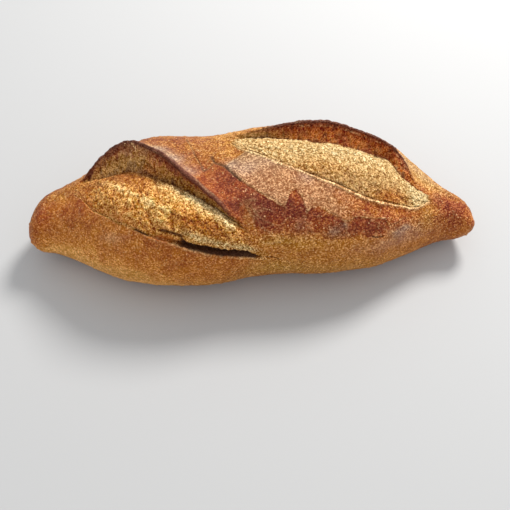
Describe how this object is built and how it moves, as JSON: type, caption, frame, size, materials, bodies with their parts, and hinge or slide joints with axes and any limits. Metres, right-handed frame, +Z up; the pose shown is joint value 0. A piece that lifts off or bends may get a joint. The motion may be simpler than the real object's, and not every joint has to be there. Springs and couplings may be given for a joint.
{
  "type": "rye bread loaf",
  "caption": "Long crusty rye loaf with tapered ends, slanting slashes across the top, raised ears and a flat underside to rest on.",
  "frame": {"origin": "under the middle of the loaf's bounding box, on the surface that it stands on", "axes": "+X along the loaf, towards the end with the slimmer point; -Y towards the side with the low lip of the long tear; +Z up"},
  "size_m": [0.32, 0.126, 0.0828],
  "materials": {
    "crust": "baked bread crust, matt to slightly satin, golden to dark red-brown, with paler rough crumb in the slashes"
  },
  "bodies": {
    "root": {"loaf": "crust"}
  },
  "joints": []
}
